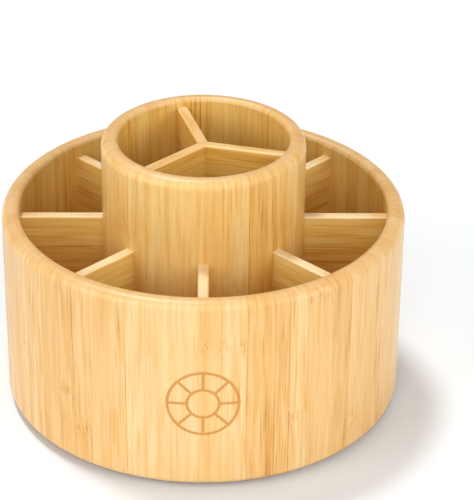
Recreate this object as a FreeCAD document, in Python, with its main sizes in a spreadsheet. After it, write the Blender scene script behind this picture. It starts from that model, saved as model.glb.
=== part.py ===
import FreeCAD, Part
import os
import re

import Sketcher

# Lazy susan organizer: a round bamboo drum with eight compartments about a taller
# three-part cup. The drum turns on a pressed-steel ball turntable, which is screwed
# to a small round base on rubber feet.
# Millimetres, +Z up. The origin is on the table, on the turning axis.

# The driving dimensions: alias, value, meaning.
DRIVING = [
    ("drum_radius", 100.0, "outer radius of the drum"),
    ("drum_height", 100.5, "drum's lower edge to its rim"),
    ("drum_wall", 8.8, "thickness of the drum's wall"),
    ("skirt_wall", 6.3, "thickness of the drum's wall beside and below the floor panel"),
    ("table_gap", 3.5, "table to the drum's lower edge"),
    ("cup_radius", 50.25, "outer radius of the cup"),
    ("cup_height", 137.0, "drum's lower edge to the cup's rim"),
    ("cup_wall", 8.3, "thickness of the cup's wall"),
    ("rim_outer_round", 5.0, "rounding of both rims, outside"),
    ("rim_inner_round", 2.5, "rounding of both rims, inside"),
    ("foot_round", 3.0, "rounding of the drum's lower edge"),
    ("ring_dividers", 8, "number of dividers between the cup and the drum's wall"),
    ("cup_dividers", 3, "number of dividers inside the cup"),
    ("cup_divider_angle", 105.0, "direction of the first cup divider, degrees from +X"),
    ("divider_thickness", 5.4, "thickness of every divider"),
    ("divider_round", 1.2, "rounding of the dividers' top edges"),
    ("ring_divider_drop", 7.4, "drum's rim down to the ring dividers' tops"),
    ("cup_divider_drop", 4.0, "cup's rim down to the cup dividers' tops"),
    ("groove_depth", 2.0, "depth of the grooves that hold the dividers and the cup"),
    ("floor_thickness", 8.0, "thickness of the floor panel"),
    ("foot_height", 1.5, "height of the rubber feet"),
    ("foot_radius", 7.0, "radius of a rubber foot"),
    ("foot_edge", 0.4, "rounding of a rubber foot's lower edge"),
    ("foot_circle", 60.0, "radius of the circle that the feet stand on"),
    ("base_radius", 75.0, "radius of the base disc"),
    ("base_thickness", 6.0, "thickness of the base disc"),
    ("base_round", 1.5, "rounding of the base disc's edges"),
    ("access_radius", 5.5, "radius of the screwdriver hole in the base disc"),
    ("bearing_height", 8.0, "base disc to floor panel"),
    ("corners", 4, "number of corners of a plate, and of feet and screws in a set"),
    ("plate_side", 76.0, "side of the square turntable plates"),
    ("plate_corner", 6.0, "corner radius of the plates"),
    ("plate_hole_pitch", 62.0, "distance between the plates' corner holes"),
    ("plate_hole_radius", 2.0, "radius of the plates' corner holes"),
    ("sheet_gauge", 1.0, "thickness of the plates' steel sheet"),
    ("dish_lift", 1.65, "height that a plate's dished middle stands proud"),
    ("dish_radius", 33.0, "radius where the dish meets the flat flange"),
    ("dish_slope", 2.4, "width of the dish's sloping edge"),
    ("ball_count", 16, "number of balls"),
    ("race_radius", 27.0, "radius of the circle of balls"),
    ("ball_radius", 2.0, "radius of a ball"),
    ("ball_clearance", 0.1, "gap between a ball and what is round it"),
    ("cage_width", 6.4, "radial width of the ball cage"),
    ("cage_thickness", 1.2, "thickness of the ball cage"),
    ("rivet_radius", 8.0, "outer radius of the hollow rivet's tube"),
    ("rivet_wall", 1.2, "wall of the hollow rivet's tube"),
    ("rivet_flange_radius", 11.0, "radius of the hollow rivet's flanges"),
    ("rivet_flange", 1.0, "thickness of the hollow rivet's flanges"),
    ("rivet_clearance", 0.08, "running clearance of the upper plate on the rivet"),
    ("rivet_end_gap", 0.2, "gap between the upper plate and the rivet's flange"),
    ("screw_radius", 1.5, "outer radius of the screws' thread"),
    ("pilot_radius", 1.2, "radius of the pilot holes that the threads bite into"),
    ("pilot_spare", 0.2, "depth of a pilot hole past its screw's point"),
    ("screw_length", 6.3, "length of a screw under its head"),
    ("screw_point", 1.6, "length of a screw's point"),
    ("head_radius", 3.0, "radius of a screw's pan head"),
    ("head_height", 1.8, "height of a screw's pan head"),
    ("head_round", 0.9, "rounding of a screw's pan head"),
    ("recess_arm", 1.6, "middle to end of a screw's cross recess"),
    ("recess_half", 0.4, "half the width of a screw's cross recess"),
    ("recess_depth", 1.1, "depth of a screw's cross recess"),
]

# Heights, radii and lengths that follow from the driving dimensions.
DERIVED = [
    ("rim_z", "table_gap + drum_height", "the drum's rim"),
    ("cup_rim_z", "table_gap + cup_height", "the cup's rim"),
    ("base_top_z", "foot_height + base_thickness", "the base disc's top"),
    ("floor_under_z", "base_top_z + bearing_height", "the floor panel's underside"),
    ("floor_top_z", "floor_under_z + floor_thickness", "the compartments' floor"),
    ("cup_foot_z", "floor_top_z - groove_depth", "the cup's lower edge"),
    ("ring_divider_z", "rim_z - ring_divider_drop", "the ring dividers' tops"),
    ("cup_divider_z", "cup_rim_z - cup_divider_drop", "the cup dividers' tops"),
    ("drum_inner", "drum_radius - drum_wall", "inner radius of the drum"),
    ("floor_radius", "drum_radius - skirt_wall", "radius of the floor panel"),
    ("cup_inner", "cup_radius - cup_wall", "inner radius of the cup"),
    ("divider_half", "divider_thickness / 2", "half a divider's thickness"),
    ("mitre", "divider_half / sqrt(3)", "length of a cup divider's pointed inner end"),
    ("ring_divider_start", "cup_radius - groove_depth", "axis to a ring divider's inner end"),
    ("ring_divider_end", "drum_inner + groove_depth", "axis to a ring divider's outer end"),
    ("cup_divider_end", "cup_inner + groove_depth", "axis to a cup divider's outer end"),
    ("screw_circle", "plate_hole_pitch / sqrt(2)", "radius of the circle of screws"),
    ("pilot_depth", "screw_length - sheet_gauge + pilot_spare", "depth of a pilot hole"),
    ("race_z", "bearing_height / 2", "back of a plate to the balls' centres"),
    ("ball_seat", "ball_radius + ball_clearance", "radius of the race's groove"),
    ("dish_top", "dish_lift + sheet_gauge", "back of a plate to the top of its dish"),
    ("dish_shift", "sheet_gauge * tan(atan(dish_lift / dish_slope) / 2)",
     "offset between the inner and outer corners of the dish's sloping edge"),
    ("seat_half", "sqrt(ball_seat ^ 2 - (race_z - dish_top) ^ 2)",
     "half the width of the race's groove"),
    ("back_seat", "ball_seat + sheet_gauge", "radius of the back of the race's groove"),
    ("back_half", "sqrt(back_seat ^ 2 - (race_z - dish_lift) ^ 2)",
     "half the width of the back of the race's groove"),
    ("rivet_top", "bearing_height - dish_lift + rivet_end_gap", "underside of the upper flange"),
]

FLIPPED = FreeCAD.Rotation(FreeCAD.Vector(1, 0, 0), 180)

doc = FreeCAD.newDocument("lazy_susan_organizer")
sizes = doc.addObject("Spreadsheet::Sheet", "sizes")
for row, (alias, content, meaning) in enumerate(DRIVING, start=1):
    sizes.set("A%d" % row, alias)
    sizes.set("B%d" % row, str(content))
    sizes.set("C%d" % row, meaning)
    sizes.setAlias("B%d" % row, alias)
for row, (alias, formula, meaning) in enumerate(DERIVED, start=len(DRIVING) + 1):
    sizes.set("A%d" % row, alias)
    sizes.set("B%d" % row, "=" + formula)
    sizes.set("C%d" % row, meaning)
    sizes.setAlias("B%d" % row, alias)
doc.recompute()


# Sizes and bindings.

def bound(expression):
    """An expression on the sheet's aliases, as other objects write it."""
    return re.sub(r"[a-z]\w*", r"sizes.\g<0>", expression)


def bind(item, name, expression):
    """Bind an object's property to an expression on the sheet's aliases."""
    item.setExpression(name, bound(expression))


def size(expression):
    """Present value of an expression on the sheet's aliases."""
    return float(sizes.evalExpression(bound(expression)))


def point(corner):
    """The point that a pair of expressions gives."""
    return FreeCAD.Vector(size(corner[0]), size(corner[1]), 0)


def turned(degrees):
    """A rotation about the turning axis."""
    return FreeCAD.Rotation(FreeCAD.Vector(0, 0, 1), degrees)


# Bodies, sketches and outlines.

def new_body(name, height=None, rotation=None):
    """An empty body for a node of this name, turned, then lifted to a height."""
    body = doc.addObject("PartDesign::Body", name)
    body.Label = name
    if rotation:
        body.Placement = FreeCAD.Placement(FreeCAD.Vector(), rotation)
    if height:
        bind(body, "Placement.Base.z", height)
    return body


def origin_of(body, role):
    """One of a body's own origin planes or axes."""
    return next(item for item in body.Origin.OriginFeatures if item.Role == role)


def new_sketch(body, name, role, lift=None, shift=None):
    """A sketch on an origin plane, moved along the plane's normal by lift and along its X by shift."""
    sketch = body.newObject("Sketcher::SketchObject", name)
    sketch.AttachmentSupport = [(origin_of(body, role), "")]
    sketch.MapMode = "FlatFace"
    if lift:
        bind(sketch, "AttachmentOffset.Base.z", lift)
    if shift:
        bind(sketch, "AttachmentOffset.Base.x", shift)
    return sketch


def pin(sketch, edge, end, corner):
    """Hold one end of an edge, or a circle's centre, at a pair of expressions."""
    for kind, line, expression in (("DistanceX", -2, corner[0]), ("DistanceY", -1, corner[1])):
        value = size(expression)
        if value == 0:
            sketch.addConstraint(Sketcher.Constraint("PointOnObject", edge, end, line))
            continue
        index = sketch.addConstraint(Sketcher.Constraint(kind, -1, 1, edge, end, value))
        bind(sketch, "Constraints[%d]" % index, expression)


def set_radius(sketch, edge, expression):
    """Hold the radius of an arc or circle."""
    index = sketch.addConstraint(Sketcher.Constraint("Radius", edge, size(expression)))
    bind(sketch, "Constraints[%d]" % index, expression)


def circle(sketch, radius, centre=("0", "0")):
    """A circle about a pair of expressions."""
    edge = sketch.addGeometry(Part.Circle(point(centre), FreeCAD.Vector(0, 0, 1), size(radius)), False)
    pin(sketch, edge, 3, centre)
    set_radius(sketch, edge, radius)


def outline(sketch, corners, arcs=None):
    """Close an outline through corners, each a pair of expressions.

    arcs gives a radius and a centre for the numbers of the edges that are arcs.
    """
    arcs = arcs or {}
    points = [point(corner) for corner in corners]
    ends = []
    first = sketch.GeometryCount
    for number, start in enumerate(points):
        finish = points[(number + 1) % len(points)]
        line = Part.LineSegment(start, finish)
        if number in arcs:
            radius, centre = arcs[number]
            middle = point(centre)
            bulge = ((start + finish) * 0.5 - middle).normalize() * size(radius)
            line = Part.Arc(start, middle + bulge, finish)
        edge = sketch.addGeometry(line, False)
        starts_here = sketch.getPoint(edge, 1).distanceToPoint(start) < 1e-6
        ends.append((1, 2) if starts_here else (2, 1))
    for number, corner in enumerate(corners):
        edge = first + number
        before = (number - 1) % len(corners)
        join = Sketcher.Constraint("Coincident", first + before, ends[before][1], edge, ends[number][0])
        sketch.addConstraint(join)
        pin(sketch, edge, ends[number][0], corner)
    for number, (radius, centre) in arcs.items():
        set_radius(sketch, first + number, radius)


def four_ways(corners):
    """Corners repeated at four quarter turns about the sketch's origin."""
    around = []
    for _ in range(4):
        around += corners
        corners = [("-(%s)" % y, x) for x, y in corners]
    return around


def rounded_square(sketch, side, radius):
    """A square about the origin with rounded corners."""
    half = "%s / 2" % side
    flat = "%s / 2 - %s" % (side, radius)
    centres = four_ways([(flat, flat)])
    arcs = {2 * number + 1: (radius, centre) for number, centre in enumerate(centres)}
    outline(sketch, four_ways([(half, "-(%s)" % flat), (half, flat)]), arcs)


def divider_section(sketch, top):
    """A divider seen from its end: a board on the floor with rounded top edges."""
    shoulder = "%s - divider_round" % top
    inset = "(divider_half - divider_round)"
    corners = [
        ("-divider_half", "floor_top_z"),
        ("divider_half", "floor_top_z"),
        ("divider_half", shoulder),
        (inset, top),
        ("-" + inset, top),
        ("-divider_half", shoulder),
    ]
    arcs = {
        2: ("divider_round", (inset, shoulder)),
        4: ("divider_round", ("-" + inset, shoulder)),
    }
    outline(sketch, corners, arcs)


def rim_corners(outer, inner, top):
    """The corners over a wall's rounded rim, from its outside to its inside."""
    return [
        (outer, "%s - rim_outer_round" % top),
        ("%s - rim_outer_round" % outer, top),
        ("%s + rim_inner_round" % inner, top),
        (inner, "%s - rim_inner_round" % top),
    ]


def rim_arcs(first, outer, inner, top):
    """The two arcs of a rounded rim whose first corner is numbered first."""
    outside = ("%s - rim_outer_round" % outer, "%s - rim_outer_round" % top)
    inside = ("%s + rim_inner_round" % inner, "%s - rim_inner_round" % top)
    return {
        first: ("rim_outer_round", outside),
        first + 2: ("rim_inner_round", inside),
    }


# Features.

def pad(body, name, sketch, length):
    """Thicken a sketch's outline along its normal."""
    feature = body.newObject("PartDesign::Pad", name)
    feature.Profile = sketch
    bind(feature, "Length", length)
    doc.recompute()
    return feature


def revolve(body, name, sketch):
    """Turn a sketch's outline a full turn about the sketch's own vertical axis."""
    feature = body.newObject("PartDesign::Revolution", name)
    feature.Profile = sketch
    feature.ReferenceAxis = (sketch, ["V_Axis"])
    feature.Angle = 360
    doc.recompute()
    return feature


def cut(body, name, sketch, depth, forward=False):
    """Cut a pocket against the sketch's normal, or along it, and make sure that it cuts."""
    before = body.Shape.Volume
    feature = body.newObject("PartDesign::Pocket", name)
    feature.Profile = sketch
    feature.Reversed = forward
    bind(feature, "Length", depth)
    doc.recompute()
    if body.Shape.Volume >= before:
        raise ValueError("%s cuts nothing" % name)
    return feature


def repeat(body, name, features, count):
    """Repeat features round the turning axis."""
    pattern = body.newObject("PartDesign::PolarPattern", name)
    pattern.Originals = features
    pattern.Axis = (origin_of(body, "Z_Axis"), [""])
    pattern.Angle = 360
    bind(pattern, "Occurrences", count)
    body.Tip = pattern
    doc.recompute()
    return pattern


def round_off(body, name, chosen, radius):
    """Round the edges of a body that chosen() picks."""
    before = body.Tip
    picked = ["Edge%d" % number for number, edge in enumerate(before.Shape.Edges, start=1) if chosen(edge)]
    feature = body.newObject("PartDesign::Fillet", name)
    feature.Base = (before, picked)
    bind(feature, "Radius", radius)
    doc.recompute()
    return feature


# The drum.

def make_drum_wall():
    """The drum's wall, with a rebate for the floor panel and grooves for the ring dividers."""
    body = new_body("drum_wall")
    profile = new_sketch(body, "drum_wall_profile", "XZ_Plane")
    outline(profile, [
        ("floor_radius", "table_gap"),
        ("drum_radius - foot_round", "table_gap"),
        ("drum_radius", "table_gap + foot_round"),
    ] + rim_corners("drum_radius", "drum_inner", "rim_z") + [
        ("drum_inner", "floor_top_z"),
        ("floor_radius", "floor_top_z"),
    ], {
        1: ("foot_round", ("drum_radius - foot_round", "table_gap + foot_round")),
        **rim_arcs(3, "drum_radius", "drum_inner", "rim_z"),
    })
    revolve(body, "drum_wall_turning", profile)
    section = new_sketch(body, "drum_groove_section", "YZ_Plane")
    divider_section(section, "ring_divider_z")
    groove = cut(body, "drum_groove", section, "ring_divider_end", forward=True)
    repeat(body, "drum_grooves", [groove], "ring_dividers")
    return body


def make_floor_panel():
    """The drum's floor, with a round groove for the cup and pilot holes on its underside."""
    body = new_body("floor_panel", height="floor_under_z")
    disc = new_sketch(body, "floor_outline", "XY_Plane")
    circle(disc, "floor_radius")
    pad(body, "floor_board", disc, "floor_thickness")
    ring = new_sketch(body, "cup_groove_outline", "XY_Plane", lift="floor_thickness")
    circle(ring, "cup_radius")
    circle(ring, "cup_inner")
    cut(body, "cup_groove", ring, "groove_depth")
    pilot = new_sketch(body, "floor_pilot_outline", "XY_Plane")
    circle(pilot, "pilot_radius", ("screw_circle", "0"))
    hole = cut(body, "floor_pilot", pilot, "pilot_depth", forward=True)
    repeat(body, "floor_pilots", [hole], "corners")
    return body


def make_cup_wall():
    """The cup's wall, grooved outside for the ring dividers and inside for its own."""
    body = new_body("cup_wall")
    profile = new_sketch(body, "cup_wall_profile", "XZ_Plane")
    outline(profile, [
        ("cup_inner", "cup_foot_z"),
        ("cup_radius", "cup_foot_z"),
    ] + rim_corners("cup_radius", "cup_inner", "cup_rim_z"),
        rim_arcs(2, "cup_radius", "cup_inner", "cup_rim_z"))
    revolve(body, "cup_wall_turning", profile)
    outer = new_sketch(body, "cup_outer_groove_section", "YZ_Plane", lift="ring_divider_start")
    divider_section(outer, "ring_divider_z")
    outer_groove = cut(body, "cup_outer_groove", outer, "2 * groove_depth", forward=True)
    repeat(body, "cup_outer_grooves", [outer_groove], "ring_dividers")
    inner = new_sketch(body, "cup_inner_groove_section", "YZ_Plane")
    inner.AttachmentOffset = FreeCAD.Placement(
        FreeCAD.Vector(), FreeCAD.Rotation(FreeCAD.Vector(0, 1, 0), size("cup_divider_angle")))
    divider_section(inner, "cup_divider_z")
    inner_groove = cut(body, "cup_inner_groove", inner, "cup_divider_end", forward=True)
    repeat(body, "cup_inner_grooves", [inner_groove], "cup_dividers")
    return body


def make_ring_divider(number):
    """One of the upright boards between the cup and the drum's wall."""
    angle = (number - 1) * 360 / size("ring_dividers")
    body = new_body("ring_divider_%d" % number, rotation=turned(angle))
    section = new_sketch(body, "ring_divider_%d_section" % number, "YZ_Plane", lift="ring_divider_start")
    divider_section(section, "ring_divider_z")
    pad(body, "ring_divider_%d_board" % number, section, "ring_divider_end - ring_divider_start")
    return body


def make_cup_divider(number):
    """One of the three boards that meet in a mitre on the cup's axis."""
    angle = size("cup_divider_angle") + (number - 1) * 360 / size("cup_dividers")
    body = new_body("cup_divider_%d" % number, height="floor_top_z", rotation=turned(angle))
    plan = new_sketch(body, "cup_divider_%d_plan" % number, "XY_Plane")
    outline(plan, [
        ("0", "0"),
        ("mitre", "-divider_half"),
        ("cup_divider_end", "-divider_half"),
        ("cup_divider_end", "divider_half"),
        ("mitre", "divider_half"),
    ])
    height = "cup_divider_z - floor_top_z"
    pad(body, "cup_divider_%d_board" % number, plan, height)

    def long_top_edge(edge):
        """The straight edges along both sides of the top."""
        ends = [vertex.Point for vertex in edge.Vertexes]
        along = abs(ends[0].y - ends[1].y) < 1e-4
        return along and all(abs(end.z - size(height)) < 1e-4 for end in ends)

    round_off(body, "cup_divider_%d_edges" % number, long_top_edge, "divider_round")
    return body


# The base.

def make_base_disc():
    """The board under the turntable, with pilot holes and a hole to reach the drum's screws."""
    body = new_body("base_disc", height="foot_height")
    disc = new_sketch(body, "base_outline", "XY_Plane")
    circle(disc, "base_radius")
    pad(body, "base_board", disc, "base_thickness")

    def rim_edge(edge):
        """Both circular edges of the disc."""
        return isinstance(edge.Curve, Part.Circle)

    round_off(body, "base_edges", rim_edge, "base_round")
    access = new_sketch(body, "access_outline", "XY_Plane", lift="base_thickness")
    circle(access, "access_radius", ("screw_circle", "0"))
    cut(body, "access_hole", access, "base_thickness")
    pilot = new_sketch(body, "base_pilot_outline", "XY_Plane", lift="base_thickness")
    circle(pilot, "pilot_radius", ("plate_hole_pitch / 2", "plate_hole_pitch / 2"))
    hole = cut(body, "base_pilot", pilot, "pilot_depth")
    repeat(body, "base_pilots", [hole], "corners")
    return body


def make_rubber_feet():
    """Four low rubber pads under the base disc."""
    body = new_body("rubber_feet", rotation=turned(45))
    profile = new_sketch(body, "foot_profile", "XZ_Plane", shift="foot_circle")
    outline(profile, [
        ("0", "0"),
        ("foot_radius - foot_edge", "0"),
        ("foot_radius", "foot_edge"),
        ("foot_radius", "foot_height"),
        ("0", "foot_height"),
    ], {1: ("foot_edge", ("foot_radius - foot_edge", "foot_edge"))})
    foot = revolve(body, "foot", profile)
    repeat(body, "feet", [foot], "corners")
    return body


# The turntable.

def make_plate(name, hub_radius, height, rotation):
    """A square steel plate, dished in the middle, with a race pressed into the dish."""
    body = new_body(name, height=height, rotation=rotation)
    flange = new_sketch(body, name + "_outline", "XY_Plane")
    rounded_square(flange, "plate_side", "plate_corner")
    circle(flange, "dish_radius")
    for centre in four_ways([("plate_hole_pitch / 2", "plate_hole_pitch / 2")]):
        circle(flange, "plate_hole_radius", centre)
    pad(body, name + "_flange", flange, "sheet_gauge")
    profile = new_sketch(body, name + "_profile", "XZ_Plane")
    ball_centre = ("race_radius", "race_z")
    outline(profile, [
        (hub_radius, "dish_lift"),
        ("race_radius - back_half", "dish_lift"),
        ("race_radius + back_half", "dish_lift"),
        ("dish_radius - dish_slope - dish_shift", "dish_lift"),
        ("dish_radius - dish_shift", "0"),
        ("dish_radius", "0"),
        ("dish_radius", "sheet_gauge"),
        ("dish_radius - dish_slope", "dish_top"),
        ("race_radius + seat_half", "dish_top"),
        ("race_radius - seat_half", "dish_top"),
        (hub_radius, "dish_top"),
    ], {1: ("back_seat", ball_centre), 8: ("ball_seat", ball_centre)})
    revolve(body, name + "_dish", profile)
    return body


def make_rivet():
    """The hollow rivet that is fixed in the lower plate and holds the upper one down."""
    body = new_body("turntable_rivet", height="base_top_z")
    profile = new_sketch(body, "rivet_profile", "XZ_Plane")
    outline(profile, [
        ("rivet_radius - rivet_wall", "dish_lift - rivet_flange"),
        ("rivet_flange_radius", "dish_lift - rivet_flange"),
        ("rivet_flange_radius", "dish_lift"),
        ("rivet_radius", "dish_lift"),
        ("rivet_radius", "rivet_top"),
        ("rivet_flange_radius", "rivet_top"),
        ("rivet_flange_radius", "rivet_top + rivet_flange"),
        ("rivet_radius - rivet_wall", "rivet_top + rivet_flange"),
    ])
    revolve(body, "rivet_turning", profile)
    return body


def make_balls():
    """The turntable's balls, as one group."""
    body = new_body("turntable_balls", height="base_top_z + race_z")
    ball = body.newObject("PartDesign::AdditiveSphere", "ball")
    ball.AttachmentSupport = [(origin_of(body, "XY_Plane"), "")]
    ball.MapMode = "FlatFace"
    bind(ball, "AttachmentOffset.Base.x", "race_radius")
    bind(ball, "Radius", "ball_radius")
    doc.recompute()
    repeat(body, "balls", [ball], "ball_count")
    return body


def make_cage():
    """The plastic ring that keeps the balls apart."""
    body = new_body("turntable_ball_cage", height="base_top_z + race_z - cage_thickness / 2")
    ring = new_sketch(body, "cage_outline", "XY_Plane")
    circle(ring, "race_radius + cage_width / 2")
    circle(ring, "race_radius - cage_width / 2")
    pad(body, "cage_ring", ring, "cage_thickness")
    window = new_sketch(body, "cage_window_outline", "XY_Plane", lift="cage_thickness")
    circle(window, "ball_seat", ("race_radius", "0"))
    hole = cut(body, "cage_window", window, "cage_thickness")
    repeat(body, "cage_windows", [hole], "ball_count")
    return body


def make_screws(name, height, rotation):
    """Four pan-head wood screws, points down before the body is turned."""
    body = new_body(name, height=height, rotation=rotation)
    profile = new_sketch(body, name + "_profile", "XZ_Plane", shift="screw_circle")
    head_shoulder = "screw_length + head_height - head_round"
    outline(profile, [
        ("0", "0"),
        ("screw_radius", "screw_point"),
        ("screw_radius", "screw_length"),
        ("head_radius", "screw_length"),
        ("head_radius", head_shoulder),
        ("head_radius - head_round", "screw_length + head_height"),
        ("0", "screw_length + head_height"),
    ], {4: ("head_round", ("head_radius - head_round", head_shoulder))})
    screw = revolve(body, name + "_turning", profile)
    cross = new_sketch(body, name + "_cross", "XY_Plane", lift="screw_length + head_height",
                       shift="screw_circle")
    outline(cross, four_ways([
        ("recess_arm", "-recess_half"),
        ("recess_arm", "recess_half"),
        ("recess_half", "recess_half"),
    ]))
    recess = cut(body, name + "_recess", cross, "recess_depth")
    repeat(body, name + "_set", [screw, recess], "corners")
    return body


# Everything, in the order in which it goes together.

def make_all():
    lower_back = "base_top_z"
    upper_back = "floor_under_z"
    nodes = [
        make_rubber_feet(),
        make_base_disc(),
        make_plate("turntable_lower_plate", "rivet_radius", lower_back, turned(0)),
        make_screws("base_screws", "base_top_z + sheet_gauge - screw_length", turned(45)),
        make_rivet(),
        make_cage(),
        make_balls(),
        make_plate("turntable_upper_plate", "rivet_radius + rivet_clearance", upper_back,
                   turned(45) * FLIPPED),
        make_screws("drum_screws", "floor_under_z - sheet_gauge + screw_length", FLIPPED),
        make_floor_panel(),
        make_drum_wall(),
        make_cup_wall(),
    ]
    nodes += [make_ring_divider(number) for number in range(1, int(size("ring_dividers")) + 1)]
    nodes += [make_cup_divider(number) for number in range(1, int(size("cup_dividers")) + 1)]
    return nodes


def write_all(nodes):
    """Check every object and every node's shape, then write one STEP file for each node."""
    doc.recompute()
    for item in doc.Objects:
        if "Invalid" in item.State or "Error" in item.State:
            raise ValueError("%s did not compute" % item.Name)
    for node in nodes:
        if node.Shape.isNull() or not node.Shape.isValid():
            raise ValueError("%s has no valid shape" % node.Label)
    os.makedirs("parts", exist_ok=True)
    for node in nodes:
        node.Shape.exportStep("parts/%s.step" % node.Label)
        print("%-22s %2d solid(s) %10.1f mm3" % (node.Label, len(node.Shape.Solids), node.Shape.Volume))


write_all(make_all())
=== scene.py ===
import functools
import math
import operator

import bpy
from mathutils import Matrix, Vector


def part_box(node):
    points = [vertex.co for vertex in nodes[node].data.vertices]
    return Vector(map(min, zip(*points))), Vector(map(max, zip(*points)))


# Lazy susan organizer: looks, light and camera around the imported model. Metres.

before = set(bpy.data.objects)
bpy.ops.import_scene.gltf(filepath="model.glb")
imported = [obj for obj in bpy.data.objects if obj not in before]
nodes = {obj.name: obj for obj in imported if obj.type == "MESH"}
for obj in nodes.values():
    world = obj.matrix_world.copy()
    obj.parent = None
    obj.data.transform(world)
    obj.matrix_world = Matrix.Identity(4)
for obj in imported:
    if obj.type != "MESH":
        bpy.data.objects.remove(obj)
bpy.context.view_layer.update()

MM = 0.001
CAMERA_ELEVATION = math.radians(30.35)
CAMERA_DISTANCE = 1.090
CAMERA_LENS = 154.8
CAMERA_ROLL = math.radians(0.64)
AIM_HEIGHT = 59.5 * MM          # the point on the axis that the camera's distance is measured from
AIM_RIGHT = 17.05 * MM          # how far the view's middle lies to the right of that point
AIM_UP = 14.6 * MM              # and above it, square to the line of sight


# Material graphs.

NOISE_ROUGHNESS = 0.55
# The Mix node's colour sockets share their names with its other sockets, so they go by number.
MIX_FIRST_COLOUR = 6
MIX_SECOND_COLOUR = 7
MIX_RESULT_COLOUR = 2


class Graph:
    """A node tree under construction: each method adds a node and returns the socket it makes."""

    def __init__(self, name):
        self.material = bpy.data.materials.new(name)
        self.material.use_nodes = True
        self.tree = self.material.node_tree
        self.tree.nodes.clear()
        self.surface = self.tree.nodes.new("ShaderNodeBsdfPrincipled")
        output = self.tree.nodes.new("ShaderNodeOutputMaterial")
        self.tree.links.new(self.surface.outputs["BSDF"], output.inputs["Surface"])

    def plug(self, socket, value):
        """Link a socket or set a number on an input."""
        if isinstance(value, bpy.types.NodeSocket):
            self.tree.links.new(value, socket)
        else:
            socket.default_value = value

    def math(self, operation, first, second=0.0):
        node = self.tree.nodes.new("ShaderNodeMath")
        node.operation = operation
        for socket, value in zip(node.inputs, (first, second)):
            self.plug(socket, value)
        return node.outputs[0]

    def add(self, first, second):
        return self.math("ADD", first, second)

    def times(self, first, second):
        return self.math("MULTIPLY", first, second)

    def fade(self, value, start, end):
        """0 at start, 1 at end, smooth in between; start may be above end."""
        node = self.tree.nodes.new("ShaderNodeMapRange")
        node.interpolation_type = "SMOOTHSTEP"
        flipped = start > end
        self.plug(node.inputs["Value"], value)
        self.plug(node.inputs["From Min"], end if flipped else start)
        self.plug(node.inputs["From Max"], start if flipped else end)
        self.plug(node.inputs["To Min"], 1.0 if flipped else 0.0)
        self.plug(node.inputs["To Max"], 0.0 if flipped else 1.0)
        return node.outputs["Result"]

    def vector(self, x, y, z):
        node = self.tree.nodes.new("ShaderNodeCombineXYZ")
        for socket, value in zip(node.inputs, (x, y, z)):
            self.plug(socket, value)
        return node.outputs[0]

    def parts(self, vector):
        """The three numbers of a vector or colour."""
        node = self.tree.nodes.new("ShaderNodeSeparateXYZ")
        self.plug(node.inputs[0], vector)
        return node.outputs[0], node.outputs[1], node.outputs[2]

    def place(self, angle=0.0):
        """The point on the object in the row's frame, turned back by an angle about +Z."""
        here = self.tree.nodes.new("ShaderNodeTexCoord").outputs["Object"]
        if not angle:
            return self.parts(here)
        turn = self.tree.nodes.new("ShaderNodeVectorRotate")
        turn.rotation_type = "Z_AXIS"
        self.plug(turn.inputs["Vector"], here)
        self.plug(turn.inputs["Angle"], -angle)
        return self.parts(turn.outputs[0])

    def noise(self, vector, scale, detail):
        node = self.tree.nodes.new("ShaderNodeTexNoise")
        self.plug(node.inputs["Vector"], vector)
        self.plug(node.inputs["Scale"], scale)
        self.plug(node.inputs["Detail"], detail)
        self.plug(node.inputs["Roughness"], NOISE_ROUGHNESS)
        return node.outputs[0]

    def cells(self, position, randomness):
        """Cells along a line: (three random numbers of the cell, distance to the nearest border)."""
        found = []
        for feature, output in (("F1", "Color"), ("DISTANCE_TO_EDGE", "Distance")):
            node = self.tree.nodes.new("ShaderNodeTexVoronoi")
            node.voronoi_dimensions = "1D"
            node.feature = feature
            self.plug(node.inputs["W"], position)
            self.plug(node.inputs["Scale"], 1.0)
            self.plug(node.inputs["Randomness"], randomness)
            found.append(node.outputs[output])
        return self.parts(found[0]), found[1]

    def ramp(self, value, stops):
        """A colour ramp through (position, linear colour) stops."""
        node = self.tree.nodes.new("ShaderNodeValToRGB")
        ramp = node.color_ramp
        while len(ramp.elements) < len(stops):
            ramp.elements.new(0.5)
        for element, (position, colour) in zip(ramp.elements, stops):
            element.position = position
            element.color = (*colour, 1.0)
        self.plug(node.inputs[0], value)
        return node.outputs[0]

    def blend(self, factor, first, second):
        """The first colour where the factor is 0, and the second where it is 1."""
        node = self.tree.nodes.new("ShaderNodeMix")
        node.data_type = "RGBA"
        self.plug(node.inputs["Factor"], factor)
        self.plug(node.inputs[MIX_FIRST_COLOUR], first)
        self.plug(node.inputs[MIX_SECOND_COLOUR], second)
        return node.outputs[MIX_RESULT_COLOUR]

    def bump(self, height, distance, strength):
        node = self.tree.nodes.new("ShaderNodeBump")
        self.plug(node.inputs["Height"], height)
        node.inputs["Distance"].default_value = distance
        node.inputs["Strength"].default_value = strength
        self.tree.links.new(node.outputs[0], self.surface.inputs["Normal"])

    def set(self, **inputs):
        """Set the shader's inputs by name, with _ for a space."""
        for name, value in inputs.items():
            self.plug(self.surface.inputs[name.replace("_", " ")], value)


def give(material, *names):
    """Put a material on CAD nodes."""
    for name in names:
        slots = nodes[name].data.materials
        slots.clear()
        slots.append(material)


# Bamboo.

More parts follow.
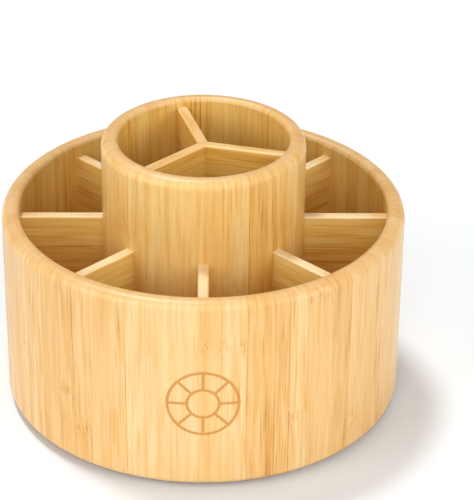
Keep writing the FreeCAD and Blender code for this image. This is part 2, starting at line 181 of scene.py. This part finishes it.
# Colours of the wood from its palest tone, 0, to its darkest, 1.
BAMBOO = (
    (0.00, (0.830, 0.660, 0.400)),
    (0.30, (0.790, 0.545, 0.260)),
    (0.50, (0.745, 0.450, 0.160)),
    (0.68, (0.665, 0.350, 0.085)),
    (0.84, (0.540, 0.245, 0.044)),
    (1.00, (0.330, 0.125, 0.020)),
)
INNER_SHADE_TINT = (1.0, 1.01, 0.68)  # painted shade: more golden, for the inner faces, in place of their shade and bounced light
END_GRAIN_AND_SHADE_TINT = (0.93, 0.92, 0.97)   # duller, for end grain: partly its own colour, partly painted shade darkening the rim's top
BURNT = ((0.3, (0.600, 0.270, 0.036)), (0.7, (0.500, 0.200, 0.022)))   # the mark's, along its fibres
DRUM_TONE = 0.43
CUP_TONE = 0.46
CUP_PAINTED_SHADE = 0.5                # how far the cup's outside has the inside's golden painted shade
BOARD_TONE = 0.44               # dividers and floor
BASE_TONE = 0.36
RIM_TONE = 0.38
INSIDE_PAINTED_LIGHT_TONE = -0.02             # added inside a wall: painted light, a slight lightening of the inner faces
EDGE_LIGHT_AND_WEAR_TONE = -0.18               # added on a divider's top edge: painted light, paler where light falls on it, and wear
RIM_FADE = (2.8 * MM, 0.3 * MM)     # how far below the rim end grain starts, and where it is full; set so the rim's top is darker than its rounding, a painted shade
EDGE_FADE = (1.3 * MM, 0.3 * MM)    # the same for a divider's paler top edge, painted light and wear
DRUM_THICKNESS = 8.8 * MM
CUP_THICKNESS = 8.3 * MM
DRUM_STRIP = 11 * MM            # average width of the glued strips
CUP_STRIP = 12 * MM
BOARD_STRIP = 20 * MM
DIVIDER_STRIP = 21 * MM
BASE_GRAIN = math.radians(30)   # the way the fibres of the base run
CUP_DIVIDER_START = 105         # angle of the cup's first divider in degrees; the ring's first is at 0
STRIP_IRREGULARITY = 0.75       # how much the strips' widths differ, from 0 to 1
JOINT_FADE = (0.42 * MM, 0.12 * MM)     # where the line of a joint starts and is full, from its middle
NODE_LOWEST = -60 * MM          # a strip's node lies from here up within the spread, often off the board
NODE_SPREAD = 260 * MM
NODE_REACH = 9 * MM             # how far a bamboo node disturbs the fibres, to each side
NODE_SWAY = 3.4 * MM            # how far it pushes them sideways
STREAKS = {
    # kind: (width, length, detail of the noise, noise where the streak starts and is full)
    "broad": (5.0 * MM, 110 * MM, 1.0, None),
    "flame": (2.3 * MM, 48 * MM, 2.0, (0.44, 0.57)),
    "line": (0.85 * MM, 34 * MM, 1.0, (0.54, 0.72)),
    "hair": (0.40 * MM, 12 * MM, 2.0, None),
    "fray": (0.9 * MM, 5 * MM, 1.0, (0.48, 0.66)),
}
DARKENING = {
    # feature: how much darker it makes the wood, as a share of the way through its colours
    "strip": 0.20,
    "broad": 0.34,
    "flame": 0.13,
    "line": 0.24,
    "hair": 0.20,
    "fray": 0.17,
    "joint": 0.20,
}
END_CALM = 0.5                  # how much of the pattern is lost on end grain
GRAIN_DEPTH = 0.05 * MM
LACQUER = {"Specular_IOR_Level": 0.40, "Coat_Weight": 0.40, "Coat_Roughness": 0.36}
MARK_RADIUS = 17 * MM
MARK_LINE = 1.4 * MM
MARK_HEIGHT = 50 * MM
MARK_STRENGTH = 0.92
MARK_DEPTH = 2.5                # in steps of the grain's depth


def tinted(tint):
    """The colours of the wood, each channel multiplied by its own number."""
    return [(place, tuple(map(operator.mul, colour, tint))) for place, colour in BAMBOO]


def bamboo_node(graph, across, along, depth, chance):
    """A strip's node: (the mask of its place, across where its fibres waver)."""
    node_place = graph.add(graph.times(chance, NODE_SPREAD), NODE_LOWEST)
    distance = graph.math("ABSOLUTE", graph.math("SUBTRACT", along, node_place))
    node = graph.fade(distance, NODE_REACH, 0.0)
    waver = graph.noise(graph.vector(graph.times(across, 700), graph.times(along, 260), depth), 1.0, 1.0)
    sway = graph.times(graph.times(node, graph.add(waver, -0.5)), NODE_SWAY)
    return node, graph.add(across, sway)


def bamboo_streaks(graph, kind, across, along, depth, pick, vigour):
    """Noise drawn out along the fibres, different in every strip."""
    width, length, detail, limits = STREAKS[kind]
    where = graph.vector(graph.add(graph.math("DIVIDE", across, width), graph.times(pick, 37.0)),
                         graph.add(graph.math("DIVIDE", along, length), graph.times(vigour, 11.0)),
                         graph.math("DIVIDE", depth, 9 * width))
    noise = graph.noise(where, 1.0, detail)
    return graph.fade(noise, *limits) if limits else noise


def bamboo_grain(graph, across, along, depth, strip):
    """The pattern of glued strips: (how much darker than the tone, the finest fibres, height)."""
    (pick, vigour, chance), border = graph.cells(graph.math("DIVIDE", across, strip), STRIP_IRREGULARITY)
    node, wavering = bamboo_node(graph, across, along, depth, chance)
    streaks = {kind: bamboo_streaks(graph, kind, wavering, along, depth, pick, vigour) for kind in STREAKS}
    fray = graph.times(node, streaks["fray"])
    joint = graph.fade(graph.times(border, strip), *JOINT_FADE)
    features = {
        "strip": graph.add(pick, -0.5),
        "broad": graph.add(streaks["broad"], -0.5),
        "flame": graph.times(streaks["flame"], graph.add(vigour, 0.35)),
        "line": graph.times(streaks["line"], graph.add(vigour, 0.25)),
        "hair": graph.add(streaks["hair"], -0.5),
        "fray": fray,
        "joint": graph.times(joint, graph.add(vigour, 0.25)),
    }
    weighted = [graph.times(feature, DARKENING[name]) for name, feature in features.items()]
    darker = functools.reduce(graph.add, weighted)
    height = graph.add(graph.times(streaks["hair"], 0.4), graph.times(streaks["line"], -0.3))
    return darker, streaks["hair"], graph.math("SUBTRACT", height, graph.add(joint, fray))


def bamboo(graph, across, along, depth, strip, tone, end=None, painted_shade=None, mark=None):
    """Edge-glued bamboo strips under satin lacquer.

    The fibres run along, the strips lie side by side across, strip metres wide on average, and
    tone shifts the whole from pale, 0, to dark, 1. end is the mask of the calmer and duller end
    grain, duller partly as painted shade on the rim's top; the next mask is that of painted shade,
    a more golden colour on the inner faces; and mark is that of a burnt mark.
    """
    level, fibres, height = bamboo_grain(graph, across, along, depth, strip)
    if end is not None:
        level = graph.times(level, graph.math("SUBTRACT", 1.0, graph.times(end, END_CALM)))
    level = graph.add(level, tone)
    colour = graph.ramp(level, BAMBOO)
    # Painted shade: the inner faces more golden, and the end grain duller, partly as painted shade on the
    # rim's top.
    for mask, tint in ((painted_shade, INNER_SHADE_TINT), (end, END_GRAIN_AND_SHADE_TINT)):
        if mask is not None:
            colour = graph.blend(mask, colour, graph.ramp(level, tinted(tint)))
    if mark is not None:
        colour = graph.blend(graph.times(mark, MARK_STRENGTH), colour, graph.ramp(fibres, BURNT))
        height = graph.math("SUBTRACT", height, graph.times(mark, MARK_DEPTH))
    graph.bump(height, GRAIN_DEPTH, 0.7)
    graph.set(Base_Color=colour, Roughness=graph.add(graph.times(fibres, 0.22), 0.34), **LACQUER)


def wheel_mark(graph, across, up):
    """A plain generic mark: a wheel with a rim, a hub ring and eight spokes."""
    reach = graph.math("SQRT", graph.add(graph.times(across, across), graph.times(up, up)))
    angle = graph.math("ARCTAN2", up, across)
    hub = MARK_RADIUS * 0.45

    def stroke(distance):
        return graph.fade(graph.math("ABSOLUTE", distance), MARK_LINE * 0.62, MARK_LINE * 0.40)

    rings = graph.math("MAXIMUM", stroke(graph.add(reach, -MARK_RADIUS)), stroke(graph.add(reach, -hub)))
    to_spoke = graph.times(graph.times(reach, graph.math("SINE", graph.times(angle, 4.0))), 0.25)
    beyond_hub = graph.fade(reach, hub - MARK_LINE, hub)
    within_rim = graph.fade(reach, MARK_RADIUS + MARK_LINE, MARK_RADIUS)
    spokes = graph.times(stroke(to_spoke), graph.times(beyond_hub, within_rim))
    return graph.math("MAXIMUM", rings, spokes)


def wall_material(name, node, thickness, strip, own_tone, outer_painted_shade=0.0, marked=False):
    """Upright strips round a wall: painted shade inside as a more golden colour, end grain on the rim with
    its top partly darkened as painted shade, and maybe the mark.

    The argument before marked is how far the outside has the inside's golden painted shade.
    """
    graph = Graph(name)
    x, y, z = graph.place()
    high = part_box(node)[1]
    radius = high.x
    bore = radius - thickness
    across = graph.times(graph.math("ARCTAN2", x, graph.times(y, -1.0)), radius)
    reach = graph.math("SQRT", graph.add(graph.times(x, x), graph.times(y, y)))
    mark = None
    if marked:
        outside = graph.fade(reach, radius - 1.0 * MM, radius - 0.5 * MM)
        mark = graph.times(wheel_mark(graph, across, graph.add(z, -MARK_HEIGHT)), outside)
    inside = graph.fade(reach, bore + 2.0 * MM, bore + 0.2 * MM)
    # End grain on the rim, with rings: its duller colour is partly painted shade, darker on the rim's top
    # than on its rounding.
    end_grain_and_shade = graph.fade(z, high.z - RIM_FADE[0], high.z - RIM_FADE[1])
    rings = graph.noise(graph.vector(graph.times(across, 90), graph.times(reach, 350), z), 1.0, 1.0)
    # Painted light: the inner faces made a shade paler.
    tone = graph.add(graph.times(inside, INSIDE_PAINTED_LIGHT_TONE), own_tone)
    change = graph.add(graph.times(rings, 0.16), RIM_TONE - own_tone)
    tone = graph.add(tone, graph.times(end_grain_and_shade, change))
    # Painted shade: the golden colour inside, and on the outside as far as asked.
    painted_shade = graph.math("MAXIMUM", inside, outer_painted_shade)
    bamboo(graph, across, z, reach, strip, tone, end=end_grain_and_shade, painted_shade=painted_shade, mark=mark)
    return graph.material


def divider_material(name, angle, top):
    """A divider turned by an angle: level fibres, a paler top edge that is painted light and wear, and
    painted shade, a more golden colour, on its faces below.
    """
    graph = Graph(name)
    x, y, z = graph.place(angle)
    # Painted light and wear on the top edge; painted shade, more golden, below it.
    edge = graph.fade(z, top - EDGE_FADE[0], top - EDGE_FADE[1])
    tone = graph.add(graph.times(edge, EDGE_LIGHT_AND_WEAR_TONE), BOARD_TONE)
    bamboo(graph, z, x, y, DIVIDER_STRIP, tone, painted_shade=graph.math("SUBTRACT", 1.0, edge))
    return graph.material


def flat_material(name, angle, tone, painted_shade_top=None):
    """A board that lies flat, with its fibres turned by an angle.

    The last argument is the height of its top, if that top is an inner face with the golden painted shade.
    """
    graph = Graph(name)
    x, y, z = graph.place(angle)
    # Painted shade: the inner top face more golden.
    painted_shade = None
    if painted_shade_top is not None:
        painted_shade = graph.fade(z, painted_shade_top - 2.0 * MM, painted_shade_top - 1.0 * MM)
    bamboo(graph, y, x, z, BOARD_STRIP, tone, painted_shade=painted_shade)
    return graph.material


def dress_bamboo():
    """Bamboo on both walls, the dividers, the floor and the base."""
    drum = wall_material("bamboo_drum", "drum_wall", DRUM_THICKNESS, DRUM_STRIP, DRUM_TONE, marked=True)
    give(drum, "drum_wall")
    cup = wall_material("bamboo_cup", "cup_wall", CUP_THICKNESS, CUP_STRIP, CUP_TONE, outer_painted_shade=CUP_PAINTED_SHADE)
    give(cup, "cup_wall")
    dividers = {"ring_divider_%d" % (turn + 1): 45 * turn for turn in range(8)}
    dividers |= {"cup_divider_%d" % (turn + 1): CUP_DIVIDER_START + 120 * turn for turn in range(3)}
    for node, angle in dividers.items():
        give(divider_material("bamboo_" + node, math.radians(angle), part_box(node)[1].z), node)
    floor_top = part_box("floor_panel")[1].z
    give(flat_material("bamboo_floor", 0.0, BOARD_TONE, floor_top), "floor_panel")
    give(flat_material("bamboo_base", BASE_GRAIN, BASE_TONE), "base_disc")


# Steel, rubber and nylon.

METALS = {
    # name: (colour, lowest roughness, fineness of the spangles, nodes)
    "zinc_sheet": ((0.62, 0.63, 0.64), 0.26, 160.0, ("turntable_lower_plate", "turntable_upper_plate")),
    "rivet_steel": ((0.66, 0.65, 0.62), 0.22, 300.0, ("turntable_rivet",)),
    "screw_steel": ((0.70, 0.69, 0.66), 0.20, 500.0, ("base_screws", "drum_screws")),
    "ball_steel": ((0.76, 0.76, 0.77), 0.06, 700.0, ("turntable_balls",)),
}
MOULDED = {
    # name: (pale colour, dark colour, lowest roughness, fineness of the grain, node)
    "nylon": ((0.80, 0.79, 0.74), (0.68, 0.67, 0.61), 0.40, 900.0, "turntable_ball_cage"),
    "rubber": ((0.035, 0.035, 0.036), (0.016, 0.016, 0.017), 0.62, 1400.0, "rubber_feet"),
}


def metal_material(name, colour, roughness, spangle):
    """Zinc-plated steel with soft cloudy spangles and fine rolling lines."""
    graph = Graph(name)
    x, y, z = graph.place()
    cloud = graph.noise(graph.vector(x, y, z), spangle, 4.0)
    lines = graph.noise(graph.vector(graph.times(x, 3000.0), graph.times(y, 120.0), z), 1.0, 2.0)
    level = graph.add(graph.times(cloud, 0.7), graph.times(lines, 0.3))
    dark = tuple(value * 0.72 for value in colour)
    graph.set(Base_Color=graph.ramp(level, ((0.3, dark), (0.7, colour))), Metallic=1.0,
              Roughness=graph.add(graph.times(level, 0.25), roughness))
    graph.bump(level, 0.03 * MM, 0.5)
    return graph.material


def moulded_material(name, pale, dark, roughness, grain):
    """Rubber or nylon: a fine moulded grain."""
    graph = Graph(name)
    x, y, z = graph.place()
    texture = graph.noise(graph.vector(x, y, z), grain, 3.0)
    graph.set(Base_Color=graph.ramp(texture, ((0.3, dark), (0.7, pale))),
              Roughness=graph.add(graph.times(texture, 0.2), roughness))
    graph.bump(texture, 0.08 * MM, 0.6)
    return graph.material


def dress_turntable():
    """Steel on the plates, rivet, screws and balls, nylon on their cage, and rubber on the feet."""
    for name, (colour, roughness, spangle, names) in METALS.items():
        give(metal_material(name, colour, roughness, spangle), *names)
    for name, (pale, dark, roughness, grain, node) in MOULDED.items():
        give(moulded_material(name, pale, dark, roughness, grain), node)


# Stage, light and camera.

FULL = math.pi                  # the strength of a sun that lights a facing white surface to 1
SUNS = {
    # name: (towards the light, strength, angle of the light's disc in degrees)
    "front": ((0.0, -1.0, 0.50), 0.30, 40),
    "front_high": ((0.0, -0.53, 0.85), 0.10, 30),
    "front_left": ((-0.87, -0.50, 0.38), 0.40, 40),
    "front_right": ((0.87, -0.50, 0.38), 0.41, 40),
    "back_left": ((-0.22, 0.26, 1.0), 0.53, 12),
}
SKY = 0.30
FLOOR_LEVEL = -0.1 * MM         # just clear of the feet, so that no two faces coincide
FLOOR_REACH = 6.0               # from its middle to each side
FLOOR_COLOURS = ((0.3, (0.80, 0.82, 0.84)), (0.7, (0.82, 0.84, 0.86)))


def make_stage():
    """A pale matt floor."""
    corners = [(x * FLOOR_REACH, y * FLOOR_REACH, 0) for x, y in ((-1, -1), (1, -1), (1, 1), (-1, 1))]
    mesh = bpy.data.meshes.new("floor")
    mesh.from_pydata(corners, [], [(0, 1, 2, 3)])
    floor = bpy.data.objects.new("floor", mesh)
    floor.location.z = FLOOR_LEVEL
    bpy.context.scene.collection.objects.link(floor)
    graph = Graph("pale_floor")
    cloud = graph.noise(graph.vector(*graph.place()), 3.0, 3.0)
    graph.set(Base_Color=graph.ramp(cloud, FLOOR_COLOURS), Roughness=0.9, Specular_IOR_Level=0.0)
    mesh.materials.append(graph.material)


def add_sun(name, towards_light, strength, spread):
    """A sun of a strength that is a share of FULL, with a disc of so many degrees."""
    data = bpy.data.lights.new(name, "SUN")
    data.energy = strength * FULL
    data.angle = math.radians(spread)
    lamp = bpy.data.objects.new(name, data)
    bpy.context.scene.collection.objects.link(lamp)
    lamp.rotation_mode = "QUATERNION"
    lamp.rotation_quaternion = Vector(towards_light).to_track_quat("Z", "Y")


def make_light():
    """Soft white studio light: four broad lights in front and one high behind, to the left."""
    world = bpy.data.worlds.new("studio")
    world.use_nodes = True
    sky = world.node_tree.nodes["Background"]
    sky.inputs["Color"].default_value = (1.0, 1.0, 1.0, 1.0)
    sky.inputs["Strength"].default_value = SKY
    bpy.context.scene.world = world
    for name, (towards_light, strength, spread) in SUNS.items():
        add_sun(name, towards_light, strength, spread)
    bpy.context.scene.view_settings.view_transform = "Standard"


def make_camera():
    """The photograph's view: from straight in front and above, shifted and rolled a little."""
    data = bpy.data.cameras.new("camera")
    data.lens = CAMERA_LENS
    camera = bpy.data.objects.new("camera", data)
    bpy.context.scene.collection.objects.link(camera)
    bpy.context.scene.camera = camera
    cosine, sine = math.cos(CAMERA_ELEVATION), math.sin(CAMERA_ELEVATION)
    back = Vector((0, -cosine, sine))
    up = Vector((0, sine, cosine))
    target = Vector((0, 0, AIM_HEIGHT))
    place = target + back * CAMERA_DISTANCE
    aim = target + Vector((AIM_RIGHT, 0, 0)) + up * AIM_UP
    axis_z = (place - aim).normalized()
    axis_x = Vector((0, 0, 1)).cross(axis_z).normalized()
    axis_y = axis_z.cross(axis_x)
    facing = Matrix((axis_x, axis_y, axis_z)).transposed().to_4x4()
    camera.matrix_world = Matrix.Translation(place) @ facing @ Matrix.Rotation(CAMERA_ROLL, 4, "Z")
    data.clip_start = 0.05
    data.clip_end = 30.0


dress_bamboo()
dress_turntable()
make_stage()
make_light()
make_camera()
